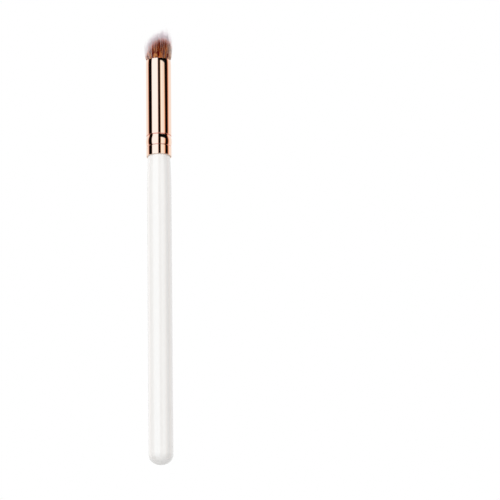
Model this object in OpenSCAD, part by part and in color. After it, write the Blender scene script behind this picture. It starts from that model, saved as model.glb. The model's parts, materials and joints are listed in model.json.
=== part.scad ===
// Eyeshadow brush: a lacquered wooden handle crimped into a drawn metal ferrule
// that holds a slanted, domed tuft of two-tone filaments.
// +Z runs up the brush from the butt to the tuft, and the origin is the butt's end on the axis.
// The tuft leans its short side to -X and its tall side to +X.

/* [Handle] */
// Length of the handle that shows, from its butt to the ferrule's mouth
handle_len = 120.2; // [90:0.1:150]
// Diameter of the handle's straight stretch, over the lacquer
handle_d = 9.3; // [8:0.1:12]
// Length over which the handle narrows to its neck
shoulder_len = 16; // [8:0.5:30]
// Height of the domed butt as a share of the handle's radius
butt_share = 0.8; // [0.4:0.05:1]
// Thickness of the lacquer coat
lacquer_t = 0.18; // [0.1:0.01:0.2]
// How far the lacquer runs on inside the ferrule's mouth
lacquer_lap = 1.2; // [0.5:0.1:2]
// Length of the tenon inside the ferrule
tenon_len = 14; // [11:0.5:16]
// Chamfer on the tenon's end
tenon_chamfer = 0.5; // [0.2:0.1:1]
// Gap between the lacquered neck and the ferrule's inner wall
neck_clearance = 0.1; // [0.05:0.01:0.15]

/* [Ferrule] */
// How far the ferrule's barrel stands proud of the handle's straight stretch
ferrule_proud = 0.1; // [0.05:0.05:0.5]
// Length of the ferrule from its mouth to its rim
ferrule_len = 38.05; // [34:0.05:46]
// Thickness of the ferrule's metal
ferrule_wall = 0.45; // [0.35:0.05:0.55]
// Radius that rounds the outer edge of the rim and of the mouth
edge_round = 0.2; // [0.1:0.05:0.3]
// Height of the lower crimp groove above the mouth
lower_groove_h = 3.8; // [3.5:0.05:4.6]
// Height of the upper crimp groove above the mouth
upper_groove_h = 8; // [7.4:0.1:9]
// How far a crimp's inner ridge bites into the tenon
crimp_bite = 0.05; // [0.03:0.01:0.1]
// Radius of the roller edge that pressed a crimp groove
groove_r = 0.35; // [0.3:0.01:0.5]
// How far the bead between the grooves stands proud of the barrel
bead_crown = 0.05; // [0.02:0.01:0.1]
// Radius of the bead's crowned surface
bead_r = 12; // [10:0.5:20]

/* [Tuft] */
// Height of the widest part of the tuft above the rim
belly_h = 4.25; // [3:0.05:6]
// How far the tuft's widest part stands proud of the ferrule's barrel
belly_proud = 0.6; // [0.3:0.05:1.2]
// Height of the tuft's short side above the rim
short_side_h = 6.55; // [6.2:0.05:9]
// Height of the tuft's tall side above the rim
tall_side_h = 9.95; // [8:0.05:13]
// Height of the dome over the slanted line that joins the two sides
crown_h = 3.9; // [2:0.1:6]
// How far the tuft leans sideways at its widest
lean = 0.2; // [0:0.05:0.4]
// How much the tuft's diameter draws in from its widest part up to its peak
draw_in = 0.6; // [0:0.1:1]
// Number of strands
strands = 340; // [300:1:360]
// Thickness of a strand, across the circle through its three edges
strand_d = 0.28; // [0.2:0.01:0.3]

/* [Root inside the ferrule] */
// Depth of the packed root's top face below the rim
root_top_depth = 1.75; // [1:0.05:2.5]
// Length of the root's full-width stretch
root_full_len = 2.5; // [1:0.1:4]
// Length over which the root narrows down to its tied waist
root_taper_len = 2.5; // [2:0.1:3]
// Length of the tied waist
waist_len = 3.8; // [3.6:0.1:4.5]
// Length of the root's foot below the waist, sunk in the resin
foot_len = 2.8; // [2:0.1:4]
// Gap between the packed root and the ferrule's inner wall
root_clearance = 0.05; // [0.03:0.01:0.1]
// Radial thickness of resin round the root's foot
resin_wall = 0.5; // [0.4:0.05:0.8]
// Depth of resin under the root's foot
resin_floor = 2.5; // [1.5:0.1:4]
// Diameter of the binding thread
thread_d = 0.34; // [0.25:0.01:0.4]
// Distance between neighbouring turns of the thread
thread_pitch = 0.8; // [0.75:0.05:0.9]
// Number of turns of the thread
thread_turns = 4; // [2:1:4]
// Gap between the thread and the waist under it
thread_clearance = 0.06; // [0.04:0.01:0.1]

/* [Hidden] */
$fn = 96;

// Steps in the curved stretches of the handle's outline
butt_steps = 20;
shoulder_steps = 12;
// Overrun of a cut past the face that it opens
cut_over = 1;

mouth_z = handle_len;
rim_z = mouth_z + ferrule_len;
handle_r = handle_d / 2;
ferrule_r = handle_r + ferrule_proud;
bore_r = ferrule_r - ferrule_wall;
groove_heights = [lower_groove_h, upper_groove_h];
// A groove is pressed in until its inner ridge has crossed the glue and bitten the wood
groove_depth = neck_clearance + lacquer_t + crimp_bite;
// A groove's centre lies so far out that its arc reaches the groove's depth
groove_axis_r = ferrule_r + groove_r - groove_depth;
// A crimp ridge is the groove's arc moved inwards by the wall's thickness
ridge_r = groove_r + ferrule_wall;

butt_h = handle_r * butt_share;
neck_r = bore_r - neck_clearance;
tenon_r = neck_r - lacquer_t;
tenon_top_z = mouth_z + tenon_len;
lacquer_top_z = mouth_z + lacquer_lap;

root_top_z = rim_z - root_top_depth;
taper_top_z = root_top_z - root_full_len;
waist_top_z = taper_top_z - root_taper_len;
waist_z = waist_top_z - waist_len;
foot_z = waist_z - foot_len;
resin_z = foot_z - resin_floor;
root_r = bore_r - root_clearance;
foot_r = bore_r - resin_wall;
thread_r = thread_d / 2;
// The thread's outside is flush with the root's foot
waist_r = foot_r - thread_d - thread_clearance;
thread_axis_r = waist_r + thread_clearance + thread_r;
thread_steps = 24;
thread_sides = 6;
thread_len = thread_turns * thread_pitch;

strand_r = strand_d / 2;
// Strands stand inside this radius at the rim and inside this radius at the belly
strand_root_r = root_r - strand_r;
strand_belly_r = ferrule_r + belly_proud - strand_r;
belly_z = rim_z + belly_h;
mid_side_h = (short_side_h + tall_side_h) / 2;
side_slope_h = (tall_side_h - short_side_h) / 2;
peak_h = mid_side_h + crown_h;
// Shape of the dome's edge: lower values give fuller shoulders
dome_power = 0.55;
// How deep a strand starts inside the packed root
strand_sink = strand_d;
// Turn between neighbouring strands, which spreads them evenly over a disc
golden_angle = 137.508;
strand_sides = 3;
strand_rings = 3;

// Outline of the handle from its butt up to its neck, drawn in by a coat's thickness
function handle_outline(coat) = concat(
    [for (i = [0:butt_steps])
        let (a = 90 * i / butt_steps)
        [(handle_r - coat) * sin(a), butt_h - (butt_h - coat) * cos(a)]],
    [for (i = [0:shoulder_steps])
        let (t = i / shoulder_steps)
        [handle_r - coat - (handle_r - neck_r) * t * t,
         mouth_z - shoulder_len * (1 - t)]]
);

// Grooves or ridges at both crimps, as circles about the grooves' centres
module crimp_circles(r) {
    for (h = groove_heights)
        translate([groove_axis_r, mouth_z + h])
            circle(r);
}

// The drawn tube's outer outline, with rounded edges and a crowned bead between the grooves
module ferrule_outer() {
    bead_mid_h = (lower_groove_h + upper_groove_h) / 2;
    difference() {
        union() {
            translate([0, mouth_z + edge_round])
                square([ferrule_r, ferrule_len - 2 * edge_round]);
            translate([0, mouth_z])
                square([ferrule_r - edge_round, ferrule_len]);
            for (z = [mouth_z + edge_round, rim_z - edge_round])
                translate([ferrule_r - edge_round, z])
                    circle(edge_round);
        }
        translate([ferrule_r - groove_depth, mouth_z + lower_groove_h])
            square([groove_depth + cut_over, upper_groove_h - lower_groove_h]);
    }
    intersection() {
        translate([ferrule_r + bead_crown - bead_r, mouth_z + bead_mid_h])
            circle(bead_r);
        translate([ferrule_r - groove_depth - ferrule_wall / 2, mouth_z + lower_groove_h])
            square([groove_depth + ferrule_wall, upper_groove_h - lower_groove_h]);
    }
}

module ferrule() {
    color("#e3b09c")
        rotate_extrude()
            difference() {
                ferrule_outer();
                difference() {
                    translate([0, mouth_z - cut_over])
                        square([bore_r, ferrule_len + 2 * cut_over]);
                    crimp_circles(ridge_r);
                }
                crimp_circles(groove_r);
            }
}

// Turned wood: butt, straight grip, narrowing neck and tenon, bitten by the crimp ridges
module handle_core() {
    color("#c9a27a")
        rotate_extrude()
            difference() {
                polygon(concat(
                    handle_outline(lacquer_t),
                    [[tenon_r, tenon_top_z - tenon_chamfer],
                     [tenon_r - tenon_chamfer, tenon_top_z],
                     [0, tenon_top_z]]
                ));
                crimp_circles(ridge_r);
            }
}

module handle_lacquer() {
    color("#fbfaf8")
        rotate_extrude()
            difference() {
                polygon(concat(handle_outline(0), [[neck_r, lacquer_top_z], [0, lacquer_top_z]]));
                polygon(concat(
                    handle_outline(lacquer_t),
                    [[tenon_r, lacquer_top_z + cut_over], [0, lacquer_top_z + cut_over]]
                ));
            }
}

// Set glue that fills the gap round the tenon
module tenon_adhesive() {
    color("#d9c58e")
        rotate_extrude()
            difference() {
                translate([tenon_r, lacquer_top_z])
                    square([bore_r - tenon_r, tenon_len - lacquer_lap - tenon_chamfer]);
                crimp_circles(ridge_r);
            }
}

// Cup of resin that locks the root's foot in the ferrule
module resin_plug() {
    color("#c78a3c")
        difference() {
            translate([0, 0, resin_z])
                cylinder(r = bore_r, h = waist_z - resin_z);
            translate([0, 0, foot_z])
                cylinder(r = foot_r, h = foot_len + cut_over);
        }
}

// A thread wound round the waist as one unbroken tube
function thread_centre(i) =
    let (a = 360 * i / thread_steps)
    [thread_axis_r * cos(a), thread_axis_r * sin(a),
     waist_z + (waist_len - thread_len) / 2 + thread_pitch * i / thread_steps];

function thread_ring(i) =
    let (a = 360 * i / thread_steps, c = thread_centre(i))
    [for (k = [0:thread_sides - 1])
        let (b = 360 * k / thread_sides)
        c + thread_r * [cos(b) * cos(a), cos(b) * sin(a), sin(b)]];

// Two triangles for each side of the tube between one ring and the next
function tube_faces(rings, sides) =
    [for (i = [0:rings - 2], k = [0:sides - 1])
        let (a = i * sides + k, b = i * sides + (k + 1) % sides)
        each [[a, b + sides, b], [a, a + sides, b + sides]]];

function fan(start, sides, flip) =
    [for (k = [1:sides - 2])
        flip ? [start, start + k, start + k + 1] : [start, start + k + 1, start + k]];

// Least distance between points of the thread's line that are half a turn or more apart
function thread_gap(n) =
    min([for (i = [0:n], j = [i + thread_steps / 2:n])
        norm(thread_centre(i) - thread_centre(j))]) - thread_d;

module binding_thread() {
    n = thread_turns * thread_steps;
    echo(thread_gap_to_itself = thread_gap(n));
    color("#e8e0d0")
        polyhedron(
            points = [for (i = [0:n]) each thread_ring(i)],
            faces = concat(
                tube_faces(n + 1, thread_sides),
                fan(0, thread_sides, true),
                fan(n * thread_sides, thread_sides, false)
            )
        );
}

// Spread of the tuft at a height: 1 at the rim, widest at the belly, then drawing in
function spread(z) =
    let (belly = strand_belly_r / strand_root_r)
    z <= rim_z ? 1 :
    z <= belly_z ? 1 + (belly - 1) * (z - rim_z) / belly_h :
    belly - draw_in / 2 / strand_root_r * (z - belly_z) / (peak_h - belly_h);

function shift(z) = lean * max(0, z - rim_z) / belly_h;

// Height of a tip over the rim, for a root at shares u and v of the tuft's radius
function tip_h(u, v) =
    mid_side_h + side_slope_h * u + crown_h * pow(max(0, 1 - u * u - v * v), dome_power);

function strand_root(i) =
    let (r = strand_root_r * sqrt((i + 0.5) / strands), a = golden_angle * i)
    [r * cos(a), r * sin(a)];

function strand_point(root, z) =
    [root.x * spread(z) + shift(z), root.y * spread(z), z];

// Every strand keeps its place in one plan that only widens and shifts with height,
// so no two strands cross
function strand_points(i) =
    let (
        root = strand_root(i),
        tip_z = rim_z + tip_h(root.x / strand_root_r, root.y / strand_root_r)
    )
    concat(
        [for (z = [root_top_z - strand_sink, rim_z, belly_z], k = [0:strand_sides - 1])
            let (a = golden_angle * i + 360 * k / strand_sides)
            strand_point(root, z) + strand_r * [cos(a), sin(a), 0]],
        [strand_point(root, tip_z)]
    );

function strand_faces(i) =
    let (
        start = i * (strand_rings * strand_sides + 1),
        last = start + (strand_rings - 1) * strand_sides,
        tip = last + strand_sides
    )
    concat(
        [[start, start + 1, start + 2]],
        [for (f = tube_faces(strand_rings, strand_sides)) f + [start, start, start]],
        [for (k = [0:strand_sides - 1]) [last + k, tip, last + (k + 1) % strand_sides]]
    );

// The packed root, tied at its waist
module packed_root() {
    rotate_extrude()
        polygon([
            [0, foot_z],
            [foot_r, foot_z],
            [foot_r, waist_z],
            [waist_r, waist_z],
            [waist_r, waist_top_z],
            [root_r, taper_top_z],
            [root_r, root_top_z],
            [0, root_top_z]
        ]);
}

module bristle_tuft() {
    color("#8a5638")
        union() {
            packed_root();
            polyhedron(
                points = [for (i = [0:strands - 1]) each strand_points(i)],
                faces = [for (i = [0:strands - 1]) each strand_faces(i)]
            );
        }
}

handle_core();
handle_lacquer();
ferrule();
tenon_adhesive();
resin_plug();
binding_thread();
bristle_tuft();
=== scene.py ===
# %% [markdown]
# # An eyeshadow brush in Blender
# The brush has three things to look at: a white lacquered handle, a ferrule plated in rose gold,
# and a slanted tuft of two-tone filaments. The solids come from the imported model, which stays
# where it is, and this script dresses them.

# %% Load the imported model
import json
import math

import bmesh
import bpy
from mathutils import Matrix, Vector


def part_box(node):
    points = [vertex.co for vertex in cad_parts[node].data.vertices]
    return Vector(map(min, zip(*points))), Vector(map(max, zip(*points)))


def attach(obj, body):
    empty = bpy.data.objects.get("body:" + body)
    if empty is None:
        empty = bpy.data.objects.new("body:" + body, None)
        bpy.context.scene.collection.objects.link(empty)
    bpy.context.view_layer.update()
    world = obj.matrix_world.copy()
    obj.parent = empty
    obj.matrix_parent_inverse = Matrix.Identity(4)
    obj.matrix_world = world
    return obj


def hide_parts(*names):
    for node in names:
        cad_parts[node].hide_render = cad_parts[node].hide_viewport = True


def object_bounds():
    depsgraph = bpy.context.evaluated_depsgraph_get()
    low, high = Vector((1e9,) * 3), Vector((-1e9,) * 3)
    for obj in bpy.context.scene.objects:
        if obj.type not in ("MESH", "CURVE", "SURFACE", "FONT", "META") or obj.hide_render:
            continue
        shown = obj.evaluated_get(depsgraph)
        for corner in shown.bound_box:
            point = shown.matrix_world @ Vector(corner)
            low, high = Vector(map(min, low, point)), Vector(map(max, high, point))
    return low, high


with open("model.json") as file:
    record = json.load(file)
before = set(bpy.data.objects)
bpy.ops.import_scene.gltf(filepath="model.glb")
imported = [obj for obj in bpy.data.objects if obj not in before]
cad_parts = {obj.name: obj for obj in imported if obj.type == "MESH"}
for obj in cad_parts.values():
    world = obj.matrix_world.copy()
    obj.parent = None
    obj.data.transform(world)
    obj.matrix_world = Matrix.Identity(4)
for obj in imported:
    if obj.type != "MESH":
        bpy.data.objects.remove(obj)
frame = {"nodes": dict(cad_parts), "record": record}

cad_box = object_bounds()
# Blender counts in metres. Here the studio is given in metres and the brush in millimetres.
MM = 0.001
print("nodes:", sorted(frame["nodes"]))

# %% [markdown]
# ## The camera
# The photograph was taken with a long lens from a little below the brush, so that the rings of
# the ferrule show as arches. One could place the camera by eye, but here the viewing angle, the
# distance and the focal length were worked out from those arches. The brush stands left of the
# frame's middle, and the camera aims to its right instead of shifting its sensor.

# %% Camera
FRAME_PX = 500
FOCAL_PX = 6660
SENSOR_MM = 36
CAMERA_DISTANCE = 2.5
CAMERA_ELEVATION = math.radians(-17.24)
CAMERA_ROLL = math.radians(-0.37)
AIMED_POINT = Vector((0, 0, 85 * MM))
AIMED_PIXEL = (159.6, 246.2)

forward = Vector((0, math.cos(CAMERA_ELEVATION), -math.sin(CAMERA_ELEVATION)))
upward = Vector((0, math.sin(CAMERA_ELEVATION), math.cos(CAMERA_ELEVATION)))
level_view = Matrix((Vector((1, 0, 0)), upward, -forward)).transposed()
sight_line = Vector((AIMED_PIXEL[0] - FRAME_PX / 2, FRAME_PX / 2 - AIMED_PIXEL[1], -FOCAL_PX))
aim = sight_line.normalized().rotation_difference(Vector((0, 0, -1))).to_matrix()
turned = level_view @ Matrix.Rotation(CAMERA_ROLL, 3, "Z") @ aim
stand = AIMED_POINT - CAMERA_DISTANCE * forward

camera_data = bpy.data.cameras.new("photo_camera")
camera_data.sensor_width = SENSOR_MM
camera_data.lens = FOCAL_PX / FRAME_PX * SENSOR_MM
camera = bpy.data.objects.new("photo_camera", camera_data)
camera.matrix_world = Matrix.Translation(stand) @ turned.to_4x4()
bpy.context.scene.collection.objects.link(camera)
bpy.context.scene.camera = camera


def pixel_of(point):
    """Where a point lands in the photograph's frame."""
    seen = turned.transposed() @ (Vector(point) - stand)
    return (round(FRAME_PX / 2 - FOCAL_PX * seen.x / seen.z, 1),
            round(FRAME_PX / 2 + FOCAL_PX * seen.y / seen.z, 1))


print("butt at pixel", pixel_of((0, 0, 0)), "top at pixel", pixel_of((0, 0, cad_box[1][2])))

# %% [markdown]
# ## Node trees as sums
# The materials, the world and the tuft's rule are all node trees. They could be built node by
# node, with a link for each wire, but a short sum would then take a dozen lines. So one helper
# adds a node and wires it up, and a small class stands for a number in a tree, with which a rule
# reads like the sum that it is.

# %% Node helpers
def put(tree, socket, value):
    """Gives a socket a plain value, or links it to another socket or to a number's socket."""
    if isinstance(value, Num):
        value = value.socket
    if isinstance(value, bpy.types.NodeSocket):
        tree.links.new(value, socket)
    elif socket.type == "RGBA" and len(value) == 3:
        socket.default_value = (*value, 1)
    else:
        socket.default_value = value


def add_node(tree, kind, settings=None, **inputs):
    """Adds a node. Inputs are given by name, with _ for a space."""
    made = tree.nodes.new(kind)
    for key, value in (settings or {}).items():
        setattr(made, key, value)
    for key, value in inputs.items():
        put(tree, made.inputs[key.replace("_", " ")], value)
    return made


def link_object(name, data):
    """Makes an object and puts it in the scene."""
    made = bpy.data.objects.new(name, data)
    bpy.context.scene.collection.objects.link(made)
    return made


# %% Numbers in node trees
class Num:
    """A number inside a node tree, so that rules can be written as sums."""

    def __init__(self, tree, socket):
        self.tree, self.socket = tree, socket

    def through(self, kind, settings, *others):
        """Sends this number and others through a node, in the order of its inputs."""
        node = add_node(self.tree, kind, settings)
        for place, value in zip(node.inputs, (self, *others)):
            put(self.tree, place, value)
        return Num(self.tree, node.outputs[0])

    def do(self, operation, *others):
        """Sends this number through a Math node."""
        return self.through("ShaderNodeMath", {"operation": operation}, *others)

    def __add__(self, other):
        return self.do("ADD", other)

    def __sub__(self, other):
        return self.do("SUBTRACT", other)

    def __mul__(self, other):
        return self.do("MULTIPLY", other)

    def __truediv__(self, other):
        return self.do("DIVIDE", other)

    def __pow__(self, other):
        return self.do("POWER", other)

    def at_least(self, other):
        return self.do("MAXIMUM", other)

    def at_most(self, other):
        return self.do("MINIMUM", other)

    def mapped(self, start, end, low=0.0, high=1.0, pace="LINEAR"):
        """Maps start..end to low..high, and holds it within these."""
        settings = {"interpolation_type": pace}
        return self.through("ShaderNodeMapRange", settings, start, end, low, high)

    def eased(self, start, end, low=0.0, high=1.0):
        """Maps in the same way, with a slow start and a slow end."""
        return self.mapped(start, end, low, high, "SMOOTHSTEP")

    def along(self, points, handles="AUTO_CLAMPED"):
        """Follows a curve of (input, output) points, both from 0 to 1."""
        node = add_node(self.tree, "ShaderNodeFloatCurve", Value=self)
        curve = node.mapping.curves[0]
        for x, y in points[1:-1]:
            curve.points.new(x, y)
        for spot, (x, y) in zip((curve.points[0], curve.points[-1]), (points[0], points[-1])):
            spot.location = (x, y)
        for spot in curve.points:
            spot.handle_type = handles
        node.mapping.update()
        return Num(self.tree, node.outputs[0])


# %% [markdown]
# ## Backdrop and floor
# The photograph has a plain white ground. A brightly lit sheet would give that too, but it would
# also throw light up at the brush. So the world is white at a strength of 1 for the camera and
# for whatever mirrors or transmits it, while the light that it sheds on the brush is set apart
# and kept at a plain level. A matt floor lies far below and takes the soft shadow. Part of its
# paleness, too, shows only to what sees it directly.

# %% What sees the backdrop
def seen_directly(tree):
    """1 for what the camera sees, also in a mirror or through glass, and 0 for what gives light."""
    rays = add_node(tree, "ShaderNodeLightPath").outputs
    seen, mirrored, sent_through = [
        Num(tree, rays[kind]) for kind in ("Is Camera Ray", "Is Glossy Ray", "Is Transmission Ray")]
    return seen.at_least(mirrored).at_least(sent_through)


def mixed(tree, factor, first, second):
    """A mix of two shader nodes, which is the second one where the factor is 1."""
    node = add_node(tree, "ShaderNodeMixShader", Fac=factor)
    put(tree, node.inputs[1], first.outputs[0])
    put(tree, node.inputs[2], second.outputs[0])
    return node.outputs[0]


def bare_paint(name):
    """A material with an empty tree. Returns both."""
    paint = bpy.data.materials.new(name)
    paint.use_nodes = True
    paint.node_tree.nodes.clear()
    return paint, paint.node_tree


# %% World
WORLD_FILL = 0.61

world = bpy.data.worlds.new("white_studio")
bpy.context.scene.world = world
world.use_nodes = True
sky = world.node_tree
sky.nodes.clear()
fill, white = [add_node(sky, "ShaderNodeBackground", Color=(1, 1, 1), Strength=strength)
               for strength in (WORLD_FILL, 1.0)]
add_node(sky, "ShaderNodeOutputWorld", Surface=mixed(sky, seen_directly(sky), fill, white))
bpy.context.scene.view_settings.view_transform = "Standard"
print("world fill", WORLD_FILL)

# %% Floor
FLOOR_Z, FLOOR_HALF = -0.9, 7.0
FLOOR_GREY = 0.78
# Strength and share of the white that shows only to what sees the floor directly
FLOOR_WHITE, FLOOR_WHITE_SHARE = 0.97, 0.7

floor_mesh = bpy.data.meshes.new("floor")
corners = [(x * FLOOR_HALF, y * FLOOR_HALF, FLOOR_Z)
           for x, y in ((-1, -1), (1, -1), (1, 1), (-1, 1))]
floor_mesh.from_pydata(corners, [], [(0, 1, 2, 3)])
floor = link_object("floor", floor_mesh)
floor_paint, tree = bare_paint("pale_floor")
matt = add_node(tree, "ShaderNodeBsdfDiffuse", Color=(FLOOR_GREY, FLOOR_GREY, FLOOR_GREY))
shown = add_node(tree, "ShaderNodeEmission", Color=(1, 1, 1), Strength=FLOOR_WHITE)
surface = mixed(tree, seen_directly(tree) * FLOOR_WHITE_SHARE, matt, shown)
add_node(tree, "ShaderNodeOutputMaterial", Surface=surface)
floor_mesh.materials.append(floor_paint)
print("floor at", FLOOR_Z, "m")

# %% [markdown]
# ## What the metal mirrors
# A polished ferrule has hardly any colour of its own: it shows the studio as upright stripes.
# Stripes painted on the metal would look right from one side only. Here a wall of cards stands
# round the brush, as in a product studio: one bright softbox, white panels, and black flags whose
# edges fall off in a warm tone. Only mirrored rays see it, so it doesn't change the light.

# %% Colours round the studio wall
RING_RADIUS = 0.7
FERRULE_MID = Vector((0, 0, 139 * MM))
BLACK, WHITE = (0.002, 0.002, 0.002), (1, 1, 1)
SOFTBOX, PANEL = (1.07, 1.27, 1.41), (1.07, 1.16, 1.13)
# Plan angle of each colour, where 0 faces the camera and + is the camera's right
WALL = (
    (-116, WHITE), (-110, (0.92, 0.60, 0.50)), (-104, (0.42, 0.14, 0.09)), (-101, BLACK),
    (-68.5, BLACK), (-65.5, (0.45, 0.26, 0.20)), (-62, SOFTBOX), (-12, SOFTBOX),
    (-8, (1.0, 0.97, 1.0)), (-5, (0.38, 0.17, 0.12)), (-2, BLACK), (12.5, BLACK),
    (16.5, (0.62, 0.33, 0.17)), (20, PANEL), (30, PANEL), (36, WHITE), (48, WHITE),
    (54, (1.0, 0.70, 0.47)), (59, (0.66, 0.20, 0.07)), (62, BLACK), (85, BLACK),
    (90, (0.24, 0.08, 0.05)), (96, (0.86, 0.42, 0.27)), (104, (1.12, 0.88, 0.76)), (115, WHITE),
)
PANE_DEGREES = 5
# Angles over the horizon of the wall's rows of points, and the two between which it turns dark
ROWS = (-55, 0, *range(16, 33), 40, 46, 50, 66)
DARK_FROM, DARK_AT = 46, 50
# The right panel is lower than the wall. Between these plan angles it ends at this angle over the
# horizon, less a drop that grows to its full size at the right.
PANEL_SIDES, PANEL_TOP, PANEL_DROP = (-6, 62), 25.5, 7.0


def share_within(number):
    """The number, held between 0 and 1."""
    return min(1.0, max(0.0, number))


def wall_colour(plan, row, colour):
    """The colour of a point on the wall, which is black over the right panel and at its top."""
    shown = share_within((DARK_AT - row) / (DARK_AT - DARK_FROM))
    left, right = PANEL_SIDES
    if left <= plan <= right:
        top = PANEL_TOP - PANEL_DROP * ((plan - left) / (right - left)) ** 3
        shown *= share_within(top - row)
    return tuple(max(c * shown, b) for c, b in zip(colour, BLACK))


print("wall colours:", len(WALL), "rows:", len(ROWS))

# %% Points of the studio wall
plans = []
for (a, first), (b, second) in zip(WALL, WALL[1:]):
    parts = max(1, round((b - a) / PANE_DEGREES))
    for blend in (i / parts for i in range(parts)):
        colour = tuple(p + (q - p) * blend for p, q in zip(first, second))
        plans.append((a + (b - a) * blend, colour))
plans.append(WALL[-1])
spots, colours = [], []
for plan, colour in plans:
    a = math.radians(plan)
    for row in ROWS:
        z = FERRULE_MID.z + RING_RADIUS * math.tan(math.radians(row))
        spots.append((RING_RADIUS * math.sin(a), -RING_RADIUS * math.cos(a), z))
        colours.append((*wall_colour(plan, row, colour), 1))
print("studio wall:", len(plans), "columns of", len(ROWS), "points")

# %% Studio wall
n = len(ROWS)
panes = [(i * n + k, (i + 1) * n + k, (i + 1) * n + k + 1, i * n + k + 1)
         for i in range(len(plans) - 1) for k in range(n - 1)]
wall_mesh = bpy.data.meshes.new("studio_wall")
wall_mesh.from_pydata(spots, [], panes)
glow = wall_mesh.color_attributes.new("glow", "FLOAT_COLOR", "POINT")
glow.data.foreach_set("color", [c for colour in colours for c in colour])
wall_paint, tree = bare_paint("studio_wall")
painted = add_node(tree, "ShaderNodeAttribute", {"attribute_name": "glow"})
shine = add_node(tree, "ShaderNodeEmission", Color=painted.outputs["Color"], Strength=1.0)
add_node(tree, "ShaderNodeOutputMaterial", Surface=shine.outputs[0])
wall_mesh.materials.append(wall_paint)
wall = link_object("studio_wall", wall_mesh)
wall.visible_camera = wall.visible_diffuse = wall.visible_shadow = False
wall.visible_transmission = wall.visible_volume_scatter = False
print("studio wall:", len(panes), "panes")

# %% [markdown]
# ## The lamps
# The world alone would light the brush evenly and leave its round handle flat. Three broad, soft
# lamps model it: a key from the front left, and two gentler ones behind it that lift both edges.
# They don't show in the metal, because the cards do that.

# %% Lamps
# Name, plan angle, angle over the horizon, distance, diameter and power
LAMPS = (
    ("key_front_left", -15, 14, 1.5, 1.3, 12.4),
    ("edge_right", 134, 4, 1.5, 1.0, 9.0),
    ("edge_left", -124, 4, 1.5, 1.0, 5.5),
)
for name, plan, elevation, distance, size, power in LAMPS:
    lamp_data = bpy.data.lights.new(name, "AREA")
    lamp_data.shape = "DISK"
    lamp_data.size = size
    lamp_data.energy = power
    lamp = link_object(name, lamp_data)
    a, e = math.radians(plan), math.radians(elevation)
    away = Vector((math.sin(a) * math.cos(e), -math.cos(a) * math.cos(e), math.sin(e)))
    lamp.location = FERRULE_MID + distance * away
    lamp.rotation_mode = "QUATERNION"
    lamp.rotation_quaternion = away.to_track_quat("Z", "Y")
    lamp.visible_camera = lamp.visible_glossy = False
print("lamps:", [lamp[0] for lamp in LAMPS])

# %% [markdown]
# ## Shapes turned on a lathe
# The ferrule and the lacquer are both round about one axis, so each is an outline of radius and
# height that is turned. Blender's Screw modifier could turn it, but a small function gives full
# control of the poles and of where the points lie. The outline runs up the outside and down the
# inside, which makes a closed wall whose faces all point out of the material.

# %% Outline helpers
# Millimetres past which two stretches are joined by a run, and under which two points are one
LONG_GAP, NO_GAP = 0.3, 1e-6


def arc(centre_r, centre_z, radius, start, end, steps):
    """Points on a circle in the plane of radius and height."""
    angles = [math.radians(start + (end - start) * i / steps) for i in range(steps + 1)]
    return [(centre_r + radius * math.cos(a), centre_z + radius * math.sin(a)) for a in angles]


def run(start, end, hold=0.04, most_share=0.3, steps=6):
    """A long stretch with points held close to both ends, so that smooth shading stays true."""
    (r0, z0), (r1, z1) = start, end
    length = math.hypot(r1 - r0, z1 - z0)
    near = min(most_share, hold / length)
    shares = [near] + [near + (1 - 2 * near) * i / steps for i in range(1, steps)] + [1 - near]
    return [(r0 + (r1 - r0) * s, z0 + (z1 - z0) * s) for s in shares]


def joined(*stretches):
    """Strings stretches of an outline together, with a run between one and the next."""
    outline = list(stretches[0])
    for stretch in stretches[1:]:
        gap = math.dist(outline[-1], stretch[0])
        outline += run(outline[-1], stretch[0]) if gap > LONG_GAP else []
        outline += stretch if gap > NO_GAP else stretch[1:]
    return outline


print("a run of 10 mm has points at", [round(z, 2) for _, z in run((1, 0), (1, 10))])


# %% Lathe
def turn_outline(name, outline, paint, around=160):
    """Turns a closed outline of (radius, height) in millimetres round the Z axis."""
    shape = bmesh.new()
    turns = [(math.cos(a), math.sin(a)) for a in (2 * math.pi * i / around for i in range(around))]
    rings = []
    for r, z in outline:
        spots = [(0, 0)] if r < NO_GAP else turns
        rings.append([shape.verts.new((r * MM * c, r * MM * s, z * MM)) for c, s in spots])
    for lower, upper in zip(rings, rings[1:] + rings[:1]):
        if len(lower) == len(upper) == 1:
            continue
        for i in range(around):
            j = (i + 1) % around
            sides = ((lower, i), (lower, j), (upper, j), (upper, i))
            loop = [ring[k % len(ring)] for ring, k in sides]
            shape.faces.new(list(dict.fromkeys(loop)))
    for face in shape.faces:
        face.smooth = True
    mesh = bpy.data.meshes.new(name)
    volume = shape.calc_volume(signed=True) / MM ** 3
    print(name, "volume", round(volume, 1), "mm3,", len(shape.faces), "faces")
    shape.to_mesh(mesh)
    shape.free()
    mesh.materials.append(paint)
    return link_object(name, mesh)


# %% Finish helpers
def new_paint(name, **inputs):
    """A Principled material. Returns it, its tree and its shader."""
    paint = bpy.data.materials.new(name)
    paint.use_nodes = True
    shader = paint.node_tree.nodes["Principled BSDF"]
    for key, value in inputs.items():
        put(paint.node_tree, shader.inputs[key.replace("_", " ")], value)
    return paint, paint.node_tree, shader


def object_noise(tree, scale, stretch=(1, 1, 1), detail=2.0, roughness=0.5):
    """Noise in the object's own coordinates, stretched along an axis where that is below 1."""
    place = add_node(tree, "ShaderNodeTexCoord").outputs["Object"]
    mapping = add_node(tree, "ShaderNodeMapping", Vector=place, Scale=stretch)
    noise = add_node(tree, "ShaderNodeTexNoise", Vector=mapping.outputs[0], Scale=scale,
                     Detail=detail, Roughness=roughness)
    return Num(tree, noise.outputs["Fac"])


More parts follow.
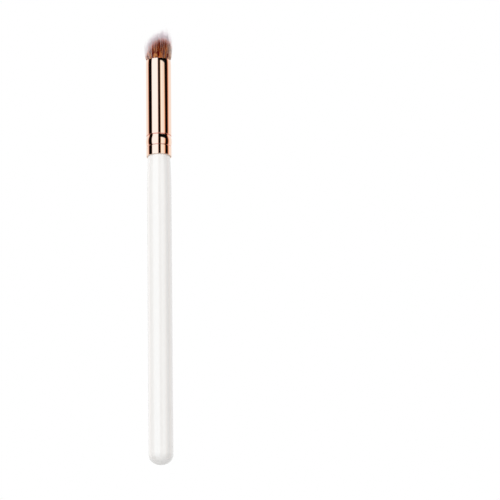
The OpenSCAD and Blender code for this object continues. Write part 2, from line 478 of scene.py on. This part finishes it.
def two_tones(tree, factor, first, second):
    """A colour between two colours. The node's colour sockets are found by their numbers, because
    its sockets for plain numbers have the same names."""
    node = add_node(tree, "ShaderNodeMix", {"data_type": "RGBA"})
    put(tree, node.inputs["Factor"], factor)
    put(tree, node.inputs[6], first)
    put(tree, node.inputs[7], second)
    return node.outputs[2]


def bumped(tree, height, depth):
    """A normal for a surface that is rough by so many millimetres."""
    return add_node(tree, "ShaderNodeBump", Height=height, Distance=depth * MM).outputs[0]


def grained(name, tones, depth, pattern, **inputs):
    """A material whose colour and bump both follow one noise pattern."""
    paint, tree, shader = new_paint(name, **inputs)
    grain = object_noise(tree, **pattern)
    put(tree, shader.inputs["Base Color"], two_tones(tree, grain, *tones))
    put(tree, shader.inputs["Normal"], bumped(tree, grain, depth))
    return paint


# %% [markdown]
# ## The ferrule
# The real ferrule is a seamless tube, drawn thin, pressed on to the handle by two crimp rollers
# and plated. The rollers leave two grooves with soft shoulders and a low bead between them,
# and the rim is drawn in a little round the hair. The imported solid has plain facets, which a
# mirror would show, so a finer turned shell stands for it.

# %% Ferrule sizes
X_AXIS, Z_AXIS = 0, 2


def span(node_name, axis):
    """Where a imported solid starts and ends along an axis, in millimetres."""
    low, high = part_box(node_name)
    return round(low[axis] / MM, 2), round(high[axis] / MM, 2)


MOUNT_R = {mount["name"]: mount["dims"]["r_mm"] for mount in frame["record"]["mounts"]}
MOUTH_Z, RIM_Z = span("ferrule", Z_AXIS)
BARREL_R = MOUNT_R["ferrule_barrel"]
# The resin fills the bore from wall to wall
BORE_R = span("resin_plug", X_AXIS)[1]
# Height and depth of each groove, and the radii that round its bottom and its shoulders
GROOVES = ((MOUTH_Z + 3.8, 0.21), (MOUTH_Z + 8.0, 0.26))
GROOVE_R, SHOULDER_R = 0.14, 0.10
# How far the bead stands proud, its radius, and how far from a groove's middle it ends
BEAD_CROWN, BEAD_R, BEAD_STOP = 0.11, 7.3, 0.25
# How far the rim is drawn in, over what length, and how late the bend comes
RIM_DRAW, RIM_DRAW_LEN, RIM_BEND = 0.08, 2.1, 2.5
BORE_EDGE_R, MOUTH_EDGE_R, RIM_EDGE_R = 0.08, 0.12, 0.14
print("ferrule from", MOUTH_Z, "to", RIM_Z, "mm, radius", BARREL_R, "outside and", BORE_R, "inside")


# %% Crimp grooves and bead
def soft_groove(groove, below=(BARREL_R, 0.0), above=(BARREL_R, 0.0)):
    """A rolled groove with rounded shoulders. below and above give the wall's radius and its
    slope in degrees where each shoulder meets it."""
    z, depth = groove
    bottom_r = BARREL_R - depth + GROOVE_R
    points = []
    for (wall_r, slope), side in ((below, -1), (above, 1)):
        shoulder_r = wall_r - SHOULDER_R * math.cos(math.radians(slope))
        reach = math.acos((bottom_r - shoulder_r) / (GROOVE_R + SHOULDER_R))
        shoulder_z = z + side * (GROOVE_R + SHOULDER_R) * math.sin(reach)
        turn = math.degrees(reach)
        shoulder = arc(shoulder_r, shoulder_z, SHOULDER_R, side * slope, -side * turn, 6)
        hollow = arc(bottom_r, z, GROOVE_R, 180 - side * turn, 180, 6)
        stretch = shoulder + hollow[1:]
        points += stretch if side < 0 else stretch[::-1][1:]
    return points


def crimp():
    """Both grooves and the crowned bead between them."""
    lower, upper = GROOVES
    middle = (lower[0] + upper[0]) / 2
    half = (upper[0] - lower[0]) / 2 - BEAD_STOP
    lean = math.degrees(math.asin(half / BEAD_R))
    crown = arc(BARREL_R + BEAD_CROWN - BEAD_R, middle, BEAD_R, -lean, lean, 16)
    edge = (crown[0][0], lean)
    return soft_groove(lower, above=edge) + crown + soft_groove(upper, below=edge)


print("crimp:", len(crimp()), "points")


# %% Drawn rim and the whole outline
def drawn_rim(steps=14):
    """The barrel bends in over its last stretch and ends in a rounded edge."""
    points = []
    for share in (i / steps for i in range(steps + 1)):
        points.append((BARREL_R - RIM_DRAW * share ** RIM_BEND,
                       RIM_Z - RIM_EDGE_R - RIM_DRAW_LEN * (1 - share)))
    slope = math.degrees(math.atan(RIM_BEND * RIM_DRAW / RIM_DRAW_LEN))
    centre_r = BARREL_R - RIM_DRAW - RIM_EDGE_R
    return points + arc(centre_r, RIM_Z - RIM_EDGE_R, RIM_EDGE_R, slope, 90, 8)


outline = joined(
    arc(BORE_R + BORE_EDGE_R, MOUTH_Z + BORE_EDGE_R, BORE_EDGE_R, 180, 270, 4),
    arc(BARREL_R - MOUTH_EDGE_R, MOUTH_Z + MOUTH_EDGE_R, MOUTH_EDGE_R, -90, 0, 8),
    crimp(),
    drawn_rim(),
    arc(BORE_R + BORE_EDGE_R, RIM_Z - BORE_EDGE_R, BORE_EDGE_R, 90, 180, 4),
)
outline += run(outline[-1], outline[0], steps=12)
print("ferrule outline:", len(outline), "points")

# %% [markdown]
# ## The plating
# Rose-gold plate is a thin film on drawn metal, smooth as a mirror but for faint lines along the
# tube and a haze from handling. One colour and one roughness would give a mirror too, but one
# that looks made up, so noise moves both a little, and a bump of half a micrometre draws the
# lines. In a groove the metal mirrors itself, which deepens its colour, and a mirror this narrow
# loses that in the render. So a reddish line is painted along each groove as painted reflection.

# %% Ferrule plating
PLATE_TONES = ((0.925, 0.690, 0.555), (0.940, 0.712, 0.575))
# The reddish tone is painted reflection: the colour that the metal mirrors into itself in a groove
GROOVE_PAINTED_REFLECTION = (0.85, 0.46, 0.38)
# Noise seldom leaves these values, so they become the least and the most roughness
NOISE_ENDS, PLATE_ROUGHNESS = (0.3, 0.7), (0.03, 0.06)
# Distances from a groove's middle at which its painted reflection starts to fade and has gone
GROOVE_REFLECTION_FADE = (0.12 * MM, 0.26 * MM)

plating, tree, shader = new_paint("rose_gold_plate", Metallic=1.0)
tint = object_noise(tree, scale=260, stretch=(1, 1, 0.25), detail=3)
colour = two_tones(tree, tint, *PLATE_TONES)
place = add_node(tree, "ShaderNodeTexCoord").outputs["Object"]
height = Num(tree, add_node(tree, "ShaderNodeSeparateXYZ", Vector=place).outputs["Z"])
# Painted reflection: a reddish line along each groove that fades into the plate's own colour
for groove_z, _ in GROOVES:
    outside = (height - groove_z * MM).do("ABSOLUTE").mapped(*GROOVE_REFLECTION_FADE)
    colour = two_tones(tree, outside, GROOVE_PAINTED_REFLECTION, colour)
put(tree, shader.inputs["Base Color"], colour)
haze = object_noise(tree, scale=900, stretch=(1, 1, 0.1), detail=4)
put(tree, shader.inputs["Roughness"], haze.mapped(*NOISE_ENDS, *PLATE_ROUGHNESS))
draw_lines = object_noise(tree, scale=2600, stretch=(1, 1, 0.012), detail=2)
put(tree, shader.inputs["Normal"], bumped(tree, draw_lines, depth=0.0005))

ferrule = turn_outline("ferrule_shell", outline, plating, around=192)
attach(ferrule, "root")
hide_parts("ferrule")

# %% [markdown]
# ## The lacquered handle
# The handle is turned wood under several coats of white lacquer. The coat is its own shell over
# the wood, with a round butt, a straight grip and a shoulder that narrows to the ferrule. One
# glossy white would do from afar, but lacquer is a soft white under a clear film, so the shader
# has a dull base and a clear coat, which give broad shades and crisp lights apart. Sprayed
# lacquer isn't dead flat: it has a faint orange peel, which a small bump gives.

# %% Lacquer shape
GRIP_R, LACQUER_TOP = MOUNT_R["handle_grip"], span("handle_lacquer", Z_AXIS)[1]
# The wood starts where the coat under it ends
COAT = span("handle_core", Z_AXIS)[0]
BUTT_H, SHOULDER_LEN, NECK_R = 3.80, 16.0, 4.20


def handle_side(coat, butt_steps=40, shoulder_steps=24):
    """The handle's outline from the middle of the butt to the ferrule's mouth."""
    points = []
    for a in (math.radians(90 * i / butt_steps) for i in range(butt_steps + 1)):
        points.append(((GRIP_R - coat) * math.sin(a), BUTT_H - (BUTT_H - coat) * math.cos(a)))
    points += run(points[-1], (GRIP_R - coat, MOUTH_Z - SHOULDER_LEN), steps=10)
    for share in (i / shoulder_steps for i in range(shoulder_steps + 1)):
        points.append((GRIP_R - coat - (GRIP_R - NECK_R) * share ** 2,
                       MOUTH_Z - SHOULDER_LEN * (1 - share)))
    return points


rounded_top = arc(NECK_R - COAT / 2, LACQUER_TOP - COAT / 2, COAT / 2, 0, 180, 8)
coat_outline = handle_side(0) + rounded_top + handle_side(COAT)[::-1]
print("lacquer outline:", len(coat_outline), "points")

# %% Lacquer finish
LACQUER_TONES = ((0.900, 0.885, 0.866), (0.920, 0.907, 0.890))

lacquer, tree, shader = new_paint("white_lacquer", Roughness=0.30, Specular_IOR_Level=0.0,
                                  Coat_Weight=1.0, Coat_Roughness=0.045, Coat_IOR=1.6)
shade = object_noise(tree, scale=70, stretch=(1, 1, 0.3), detail=3)
put(tree, shader.inputs["Base Color"], two_tones(tree, shade, *LACQUER_TONES))
peel = object_noise(tree, scale=700, stretch=(1, 1, 0.6), detail=1)
smooth_peel = bumped(tree, peel, depth=0.012)
put(tree, shader.inputs["Normal"], smooth_peel)
put(tree, shader.inputs["Coat Normal"], smooth_peel)

coat = turn_outline("handle_lacquer_coat", coat_outline, lacquer, around=160)
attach(coat, "root")
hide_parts("handle_lacquer")

# %% [markdown]
# ## Wood, glue and resin
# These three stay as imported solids, because their shapes are right, and they only get better
# finishes. They are hidden in the whole brush and show when it is taken apart or cut. A picture
# of wood could be wrapped round the core, but noise that is stretched along the grain needs no
# picture and goes right through the wood.

# %% Inner finishes
wood = grained("turned_wood", ((0.42, 0.25, 0.12), (0.66, 0.46, 0.27)), depth=0.03,
               pattern={"scale": 900, "stretch": (1, 1, 0.04), "detail": 6, "roughness": 0.6},
               Roughness=0.6)
glue = grained("set_glue", ((0.62, 0.50, 0.24), (0.74, 0.64, 0.38)), depth=0.03,
               pattern={"scale": 600, "detail": 4}, Roughness=0.4)
resin = grained("amber_resin", ((0.48, 0.20, 0.04), (0.62, 0.33, 0.09)), depth=0.01,
                pattern={"scale": 400, "detail": 3}, Roughness=0.12,
                Subsurface_Weight=0.3, Subsurface_Scale=0.002)

for node_name, paint in (("handle_core", wood), ("tenon_adhesive", glue), ("resin_plug", resin)):
    slots = frame["nodes"][node_name].data.materials
    slots.clear()
    slots.append(paint)
    print(node_name, "gets", paint.name)

# %% [markdown]
# ## The tuft
# The tuft holds thousands of synthetic filaments, each dyed brown and left white for its last
# few millimetres. Hair particles could draw them, but a plain mesh is wanted at the end, so
# Geometry Nodes make one line, copy it, and bend every copy by the same rule. A filament starts
# in the resin, passes the tied waist, spreads over the rim and ends on a slanted dome.

# %% Rule helpers
def new_rule(name, sizes):
    """A Geometry Nodes tree with named inputs. Returns it and the inputs as numbers."""
    tree = bpy.data.node_groups.new(name, "GeometryNodeTree")
    for key, (kind, value) in sizes.items():
        tree.interface.new_socket(key, in_out="INPUT", socket_type=kind).default_value = value
    tree.interface.new_socket("Geometry", in_out="OUTPUT", socket_type="NodeSocketGeometry")
    source = add_node(tree, "NodeGroupInput")
    return tree, {key: Num(tree, source.outputs[key]) for key in sizes}


def random_number(tree, number, seed, low=0.0, high=1.0):
    """A number by chance, but always the same one for one filament and one seed."""
    node = add_node(tree, "FunctionNodeRandomValue", {"data_type": "FLOAT"}, ID=number, Seed=seed)
    put(tree, node.inputs[2], low)
    put(tree, node.inputs[3], high)
    return Num(tree, node.outputs[1])


def keep_attribute(tree, shape, name, number):
    """Keeps a number on each point of a shape, for the finish to read."""
    settings = {"data_type": "FLOAT", "domain": "POINT"}
    return add_node(tree, "GeometryNodeStoreNamedAttribute", settings, Geometry=shape, Name=name,
                    Value=number).outputs[0]


def finish_rule(tree, shape, given):
    """Ends a tree in real geometry with its material."""
    real = add_node(tree, "GeometryNodeRealizeInstances", Geometry=shape)
    dressed = add_node(tree, "GeometryNodeSetMaterial", Geometry=real.outputs[0],
                       Material=given["Finish"])
    add_node(tree, "NodeGroupOutput", Geometry=dressed.outputs[0])
    print(tree.name, len(tree.nodes), "nodes")


# %% [markdown]
# ## The filaments
# A real tuft is a bundle of several thousand tapered synthetic filaments, tied at the waist, cut
# to no common length and shaken into a dome that slants across the brush. What the eye reads
# is less the single filament than how they gather: a few broad clumps, finer locks inside them,
# and a loose outer layer that flares past the rim. They could be combed one by one, but the rule
# below works this out for each filament from its own number. Its place in the round bundle
# follows a sunflower spiral, so the bundle is evenly packed at the root. The dome gives its
# nominal height, and a random depth under that dome leaves only a few tips near the top, which
# thins the tuft out softly. Then the filament leans to the middle of its lock and of its clump.
# Each is a tapered tube of three flat sides, the cheapest section that still shows a lit side
# and a dark side.

# %% Filament sizes
FILAMENTS = 5600
# The waist starts where the resin ends, and from TAPER_TOP_Z up the bundle nearly fills the bore
FOOT_Z, WAIST_Z = span("bristle_tuft", Z_AXIS)[0], span("resin_plug", Z_AXIS)[1]
WAIST_TOP_Z = WAIST_Z + 3.8
TAPER_TOP_Z, TOP_Z = WAIST_TOP_Z + 2.5, RIM_Z + 12.75
# A filament has a ring at each of these heights, and more that share out its length outside
LEVELS = (FOOT_Z, WAIST_Z, WAIST_TOP_Z, TAPER_TOP_Z, RIM_Z)
RINGS_OUTSIDE = 6
RINGS = len(LEVELS) + RINGS_OUTSIDE

# Clumps and Locks count the cells along the bundle's radius. Sizes are in millimetres.
rule, given = new_rule("filament_rule", {
    "Count": ("NodeSocketInt", FILAMENTS),
    "First": ("NodeSocketInt", 0),
    "Total": ("NodeSocketInt", FILAMENTS),
    "Thickness": ("NodeSocketFloat", 0.09),
    "Clumps": ("NodeSocketFloat", 3.2),
    "Clump pull": ("NodeSocketFloat", 0.26),
    "Locks": ("NodeSocketFloat", 11.0),
    "Lock pull": ("NodeSocketFloat", 0.70),
    "Wander": ("NodeSocketFloat", 0.28),
    "Uneven tips": ("NodeSocketFloat", 4.3),
    "Finish": ("NodeSocketMaterial", None),
})
print("filament rule takes", list(given))

# %% Where a filament stands
GOLDEN_ANGLE, FIRST_ANGLE = math.radians(137.508), math.radians(252)
JITTER = 0.008

line = add_node(rule, "GeometryNodeCurvePrimitiveLine")
strand = add_node(rule, "GeometryNodeResampleCurve", Curve=line.outputs[0], Count=RINGS)
copies = add_node(rule, "GeometryNodeDuplicateElements", {"domain": "SPLINE"},
                  Geometry=strand.outputs[0], Amount=given["Count"])
number = Num(rule, copies.outputs["Duplicate Index"]) + given["First"]
course = Num(rule, add_node(rule, "GeometryNodeSplineParameter").outputs["Factor"])

# Its place in the round bundle, as shares of the bundle's radius: u to the right, v to the back
spoke = ((number + 0.5) / given["Total"]) ** 0.5 + random_number(rule, number, 1, -JITTER, JITTER)
turn = number * GOLDEN_ANGLE + FIRST_ANGLE
u = spoke * turn.do("COSINE")
v = spoke * turn.do("SINE")
print("sunflower spiral: a turn of", round(math.degrees(GOLDEN_ANGLE), 3), "degrees each")

# %% Where a filament ends
# Heights over the rim: the base of the dome in the middle, its slant and its curve across the
# brush, and how far the dome rises from it
BASE_H, SLANT_H, CURVE_H, DOME_H, DOME_POWER = 8.3, 2.65, 1.45, 3.7, 0.55
# Share of the radius in the bundle, and the share that is left where the tuft has widened: most
# filaments rise straight and only the outermost flare, so the edge of the tuft is loose
LOOSE_EDGE = ((0, 0), (0.965, 0.785), (0.985, 0.89), (1, 1))
# A random number, and how deep under the dome it puts a tip: few of them come near the dome
TIP_DEPTHS = ((0, 0), (0.05, 0.12), (0.13, 0.36), (0.26, 0.60), (0.52, 0.80), (1, 1))
# Where the dome is this low its tips are nearly even, and where it is this high they are not
EVEN_H, UNEVEN_H, EVEN_SHARE = 6.0, 12.5, 0.08

straight = spoke.along(LOOSE_EDGE) / spoke
high_u, high_v = u * straight, v * straight
dome = (high_u * high_u * -1.0 - high_v * high_v + 1.0).at_least(0.0) ** DOME_POWER
nominal = high_u * SLANT_H + high_u * high_u * CURVE_H + dome * DOME_H + BASE_H
unevenness = nominal.eased(EVEN_H, UNEVEN_H, low=EVEN_SHARE)
depth = random_number(rule, number, 2).along(TIP_DEPTHS) * unevenness
tip_h = nominal - depth * given["Uneven tips"]
print("dome:", BASE_H, "mm over the rim, and", DOME_H, "mm more in the middle")

# %% How high a point is, and how wide the tuft is there
# Radius of the whole tuft at each height, and a scale that keeps the curve below 1
WIDTHS = (
    (FOOT_Z, 3.72), (WAIST_Z, 3.45), (WAIST_Z + 1.8, 3.36), (WAIST_TOP_Z, 3.45),
    (TAPER_TOP_Z, 4.18), (RIM_Z - 1.05, 4.22), (RIM_Z, 4.26), (RIM_Z + 0.35, 4.58),
    (RIM_Z + 1.15, 4.81), (RIM_Z + 2.75, 4.98), (RIM_Z + 4.75, 5.12), (RIM_Z + 7.75, 5.18),
    (TOP_Z, 5.00),
)
R_SCALE = 6.0

inside = (len(LEVELS) - 1) / (RINGS - 1)
below = (course / inside).at_most(1.0)
above = ((course - inside) / (1 - inside)).at_least(0.0)
steps = [(i / (len(LEVELS) - 1), (z - FOOT_Z) / (RIM_Z - FOOT_Z)) for i, z in enumerate(LEVELS)]
height = below.along(steps, handles="VECTOR") * (RIM_Z - FOOT_Z) + above * tip_h + FOOT_Z
free = (height - RIM_Z).at_least(0.0)
width = ((height - FOOT_Z) / (TOP_Z - FOOT_Z)).along(
    [((z - FOOT_Z) / (TOP_Z - FOOT_Z), r / R_SCALE) for z, r in WIDTHS]) * R_SCALE
print("widest radius:", max(r for _, r in WIDTHS), "mm")


# %% Clumps and locks
def cells_of(rule, across, along, scale):
    """The middle of the cell that a filament stands in, and three random numbers of that cell."""
    spot = add_node(rule, "ShaderNodeCombineXYZ", X=across, Y=along)
    cells = add_node(rule, "ShaderNodeTexVoronoi", {"voronoi_dimensions": "2D"},
                     Vector=spot.outputs[0], Scale=scale)
    middle, chances = [add_node(rule, "ShaderNodeSeparateXYZ", Vector=cells.outputs[key]).outputs
                       for key in ("Position", "Color")]
    return [Num(rule, out) for out in (middle["X"], middle["Y"], *chances)]


clump_u, clump_v, clump_x, clump_y, _ = cells_of(rule, u, v, given["Clumps"])
lock_u, lock_v, lock_x, lock_y, lock_tone = cells_of(rule, u, v, given["Locks"])
print("clumps and locks:", len(rule.nodes), "nodes so far")

# %% How much each height brings in
# Heights over the rim between which each of these comes in
FLARE_ENDS, CLUMP_ENDS, LOCK_ENDS, DRIFT_ENDS = (0.0, 3.5), (1.5, 8.0), (0.0, 4.0), (0.0, 12.0)
LOCK_DRIFT, CLUMP_DRIFT, DRIFT_POWER = 0.7, 0.4, 1.5
# From the first of these shares of the radius a filament drifts less, down to this at the edge
DRIFT_EDGE, DRIFT_LEFT = (0.7, 1.0), 0.2

flare = free.eased(*FLARE_ENDS)
spread = (straight - 1.0) * flare + 1.0
clump_pull = free.eased(*CLUMP_ENDS) * given["Clump pull"]
lock_pull = free.eased(*LOCK_ENDS) * given["Lock pull"]
reach = free.mapped(*DRIFT_ENDS) ** DRIFT_POWER
limit = spoke.eased(*DRIFT_EDGE, low=1.0, high=DRIFT_LEFT)
print("clumps pull in full from", CLUMP_ENDS[1], "mm over the rim, locks from", LOCK_ENDS[1], "mm")

# %% Bend the filaments
# The whole tuft leans a little to its short side
LEAN = 0.06


def gathered(own, clump, lock):
    """A place that is drawn to its clump and its lock, in millimetres."""
    return (own + (clump - own) * clump_pull + (lock - own) * lock_pull) * spread * width


def drift(seed, lock_chance, clump_chance):
    """How far a filament strays by its own chance, its lock's and its clump's."""
    own = random_number(rule, number, seed, -1, 1) * given["Wander"]
    return own + (lock_chance - 0.5) * LOCK_DRIFT + (clump_chance - 0.5) * CLUMP_DRIFT


x = gathered(u, clump_u, lock_u) - flare * LEAN + drift(3, lock_x, clump_x) * reach * limit
y = gathered(v, clump_v, lock_v) + drift(4, lock_y, clump_y) * reach * limit
place = add_node(rule, "ShaderNodeCombineXYZ", X=x * MM, Y=y * MM, Z=height * MM)
bent = add_node(rule, "GeometryNodeSetPosition", Geometry=copies.outputs[0],
                Position=place.outputs[0])
print("bent filaments:", len(rule.nodes), "nodes so far")

# %% What the finish needs to know
# Height of the dye's edge over the rim in the middle, and its slant and curve across the brush
DYE_H, DYE_SLANT_H, DYE_CURVE_H = 7.15, 1.7, 1.8
# A few filaments are dyed up to this much less far
SHORT_DYE_H, SHORT_DYE_RARITY = 4.0, 10.0
OWN_TONE_SHARE = 0.25
# Share of the radius past which a filament lies in the outermost layer, which gets painted light.
# At the brush's left and right the layer is deeper, the more so on the tall side.
LAYER_EDGE, SIDE_DEPTH, TALL_SIDE_DEPTH, SIDE_POWER = (0.984, 0.994), 0.08, 0.04, 4.0
# Own tones from which such a filament starts to get painted light and gets it in full, and what
# is added to its own tone at the very side, where nearly all get it
PAINTED_LIGHT_TONES, SIDE_GAIN = (0.74, 0.92), 0.72
# Heights over the rim between which the painted light comes in, so that it's mostly there at the
# rim, and what it gains on the tall side
PAINTED_LIGHT_ENDS, TALL_SIDE_GAIN = (-2.0, 1.0), 0.4

own_tone = random_number(rule, number, 5)
dye_edge = high_u * DYE_SLANT_H - high_u * high_u * DYE_CURVE_H + DYE_H
below_white = dye_edge - own_tone ** SHORT_DYE_RARITY * SHORT_DYE_H - free
tone = lock_tone * (1 - OWN_TONE_SHARE) + own_tone * OWN_TONE_SHARE
# Painted light: the outer layer at the brush's left and right is marked to be lightened, more on
# the tall side
side = u.do("ABSOLUTE") ** SIDE_POWER
in_layer = (spoke + side * (u * TALL_SIDE_DEPTH + SIDE_DEPTH)).eased(*LAYER_EDGE)
outermost = in_layer * (own_tone + side * SIDE_GAIN).eased(*PAINTED_LIGHT_TONES)
kept = keep_attribute(rule, bent.outputs[0], "below_white", below_white)
kept = keep_attribute(rule, kept, "tone", tone)
# The painted side light is kept mostly from the rim up
kept = keep_attribute(rule, kept, "outermost",
                      outermost * free.eased(*PAINTED_LIGHT_ENDS) * (u * TALL_SIDE_GAIN + 1.0))
print("dye ends", DYE_H, "mm over the rim in the middle")

# %% Tapered tube of three sides
TAPER_LEN, TAPER_POWER, TIP_SHARE = 5.0, 0.7, 0.14

from_tip = (above * -1.0 + 1.0) * tip_h
taper = (from_tip / TAPER_LEN).at_most(1.0) ** TAPER_POWER * (1 - TIP_SHARE) + TIP_SHARE
section = add_node(rule, "GeometryNodeCurvePrimitiveCircle", Resolution=3,
                   Radius=given["Thickness"] * (MM / 2))
skin = add_node(rule, "GeometryNodeCurveToMesh", Curve=kept, Profile_Curve=section.outputs[0],
                Scale=taper, Fill_Caps=True)
flat = add_node(rule, "GeometryNodeSetShadeSmooth", Geometry=skin.outputs[0], Shade_Smooth=False)
finish_rule(rule, flat.outputs[0], given)

# %% [markdown]
# ## The filaments' dye
# The filaments are white and dip-dyed: brown from the root up to a line that runs a little
# higher on the tall side, with a short pink stretch where the dye thins out. Noise alone could
# colour them, but the dye follows the cut of the tuft. So each filament carries its distance
# below that line, a tone that it shares with its lock, and whether it lies in the outermost
# layer at the sides, which is painted a pale fawn as painted light. Long narrow patches of deep
# red, partly darker dye and partly painted shade, gather just below the line and fade towards
# the ferrule into a plain warm brown. The white tips let light through, the dyed part doesn't.

# %% Filament finish
WHITES = ((0.935, 0.80, 0.87), (0.98, 0.945, 0.965))
BROWNS = ((0.75, 0.18, 0.038), (0.67, 0.32, 0.115))
# Deep red is partly darker dye and partly painted shade between the locks
# Fawn and the paler pink below it are painted light on the tuft's left and right edges
DEEP_RED_AND_SHADE, PAINTED_LIGHT_FAWN = (0.17, 0.001, 0.001), (0.83, 0.755, 0.655)
PINK, PAINTED_LIGHT_PINK = (0.88, 0.42, 0.36), (0.88, 0.79, 0.74)
# A filament's lightness is its patch times this weight, plus its tone. It is deep red, partly
# painted shade between the locks, up to the first of these sums and brown from the second.
PATCH_WEIGHT, RED_TO_BROWN = 6.0, (3.03, 3.2)
# From the first to the second distance below the line, in millimetres, the lightness is cut by
# this much to this much, so most red and most painted shade gather just below the line
SHADE_CUT_ENDS, SHADE_CUTS = (0.5, 4.8), (0.68, 0.08)
# Millimetres below the line between which the dye comes in, and how far a tone of 1 moves them
DYE_ENDS, TONE_SHIFT = (-1.7, -0.1), -1.2
# The value of the painted side light at which its fawn is strongest, and how strong it is there
PAINTED_LIGHT_FULL, PAINTED_LIGHT_MOST = 1.4, 0.86
WHITE_SUBSURFACE = 0.8


def carried(tree, name):
    """A number that each filament carries."""
    return Num(tree, add_node(tree, "ShaderNodeAttribute", {"attribute_name": name}).outputs["Fac"])


filament, tree, shader = new_paint("two_tone_filament", Roughness=0.38, Specular_IOR_Level=0.05,
                                   Subsurface_Scale=0.0002, Subsurface_Radius=(1, 1, 1))
below_white, tone = carried(tree, "below_white"), carried(tree, "tone")
# Painted shade: noise patches darken the dye to deep red, most of all just below the white
red_and_shade_patch = object_noise(tree, scale=1150, stretch=(1, 1, 0.34), detail=1)
streak = red_and_shade_patch.do("MULTIPLY_ADD", PATCH_WEIGHT, tone)
lightness = (streak - below_white.mapped(*SHADE_CUT_ENDS, *SHADE_CUTS)).mapped(*RED_TO_BROWN)
brown_and_painted_shade = two_tones(tree, lightness, DEEP_RED_AND_SHADE, two_tones(tree, tone, *BROWNS))
# Painted light: marked outer filaments turn from brown to fawn and from pink to a paler pink
painted_light_share = carried(tree, "outermost").mapped(0.0, PAINTED_LIGHT_FULL, high=PAINTED_LIGHT_MOST)
dyed_and_painted_light = two_tones(tree, painted_light_share, brown_and_painted_shade, PAINTED_LIGHT_FAWN)
pink_and_painted_light = two_tones(tree, painted_light_share, PINK, PAINTED_LIGHT_PINK)
dye = tone.do("MULTIPLY_ADD", TONE_SHIFT, below_white).mapped(*DYE_ENDS)
put(tree, shader.inputs["Subsurface Weight"], dye.mapped(0.0, 1.0, low=WHITE_SUBSURFACE, high=0.0))
# The first half of the dye turns white to pink, and the second half pink to brown
pink = two_tones(tree, dye.mapped(0.0, 0.5), two_tones(tree, tone, *WHITES), pink_and_painted_light)
put(tree, shader.inputs["Base Color"], two_tones(tree, dye.mapped(0.5, 1.0), pink, dyed_and_painted_light))
print("filament finish:", len(tree.nodes), "nodes")


# %% Grow the tuft
def grow(name, rule, paint, **sizes):
    """Runs a rule with these sizes and returns the result as a plain mesh."""
    seedling = link_object(name + "_seed", bpy.data.meshes.new(name + "_seed"))
    modifier = seedling.modifiers.new(name, "NODES")
    modifier.node_group = rule
    values = {**sizes, "Finish": paint}
    for item in rule.interface.items_tree:
        if item.name in values:
            modifier[item.identifier] = values[item.name]
    graph = bpy.context.evaluated_depsgraph_get()
    grown = bpy.data.meshes.new_from_object(seedling.evaluated_get(graph))
    bpy.data.objects.remove(seedling)
    grown.name = name
    print(name, len(grown.polygons), "faces")
    return link_object(name, grown)


SHARES = (("tuft_inner_filaments", 0, FILAMENTS // 2),
          ("tuft_outer_filaments", FILAMENTS // 2, FILAMENTS - FILAMENTS // 2))
for name, first, count in SHARES:
    part = grow(name, rule, filament, Count=count, First=first, Total=FILAMENTS)
    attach(part, "root")
    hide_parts("bristle_tuft")

# %% [markdown]
# ## The binding thread
# A cotton thread ties the bundle at its waist before the foot is set in resin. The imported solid
# is a plain round cord, and a bump could hint at its twist. But the real thread is three plies
# laid round each other, so the rule winds three thin tubes along the same helix.

# %% Thread rule
THREAD_TURNS, THREAD_PITCH, THREAD_AXIS_R = 4, 0.8, 3.63
THREAD_START_Z = WAIST_Z + (WAIST_TOP_Z - WAIST_Z - THREAD_TURNS * THREAD_PITCH) / 2
PLIES, RINGS_PER_TURN = 3, 96

ply_rule, given = new_rule("ply_rule", {
    "Turns": ("NodeSocketFloat", THREAD_TURNS),
    "Pitch": ("NodeSocketFloat", THREAD_PITCH),
    "Twists": ("NodeSocketFloat", 22.0),
    "Ply offset": ("NodeSocketFloat", 0.085),
    "Ply radius": ("NodeSocketFloat", 0.078),
    "Finish": ("NodeSocketMaterial", None),
})
line = add_node(ply_rule, "GeometryNodeCurvePrimitiveLine")
strand = add_node(ply_rule, "GeometryNodeResampleCurve", Curve=line.outputs[0],
                  Count=RINGS_PER_TURN * THREAD_TURNS)
copies = add_node(ply_rule, "GeometryNodeDuplicateElements", {"domain": "SPLINE"},
                  Geometry=strand.outputs[0], Amount=PLIES)
ply = Num(ply_rule, copies.outputs["Duplicate Index"])
course = Num(ply_rule, add_node(ply_rule, "GeometryNodeSplineParameter").outputs["Factor"])
angle = course * given["Turns"] * (2 * math.pi)
twist = angle * given["Twists"] / given["Turns"] + ply * (2 * math.pi / PLIES)
radial = twist.do("COSINE") * given["Ply offset"] + THREAD_AXIS_R
climb = course * given["Turns"] * given["Pitch"]
rise = twist.do("SINE") * given["Ply offset"] + climb + THREAD_START_Z
place = add_node(ply_rule, "ShaderNodeCombineXYZ", X=angle.do("COSINE") * radial * MM,
                 Y=angle.do("SINE") * radial * MM, Z=rise * MM)
laid = add_node(ply_rule, "GeometryNodeSetPosition", Geometry=copies.outputs[0],
                Position=place.outputs[0])
section = add_node(ply_rule, "GeometryNodeCurvePrimitiveCircle", Resolution=6,
                   Radius=given["Ply radius"] * MM)
skin = add_node(ply_rule, "GeometryNodeCurveToMesh", Curve=laid.outputs[0],
                Profile_Curve=section.outputs[0], Fill_Caps=True)
soft = add_node(ply_rule, "GeometryNodeSetShadeSmooth", Geometry=skin.outputs[0])
finish_rule(ply_rule, soft.outputs[0], given)

# %% Wind the thread
cotton = grained("cotton_thread", ((0.66, 0.60, 0.50), (0.84, 0.79, 0.69)), depth=0.02,
                 pattern={"scale": 9000, "detail": 3}, Roughness=0.85, Sheen_Weight=0.3)
thread = grow("waist_thread", ply_rule, cotton)
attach(thread, "root")
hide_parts("binding_thread")

# %% [markdown]
# ## Sizes
# The imported solids' box is printed, in millimetres.

# %% Print the imported solids' box
print("cad box", [[round(x / MM, 2) for x in c] for c in cad_box])
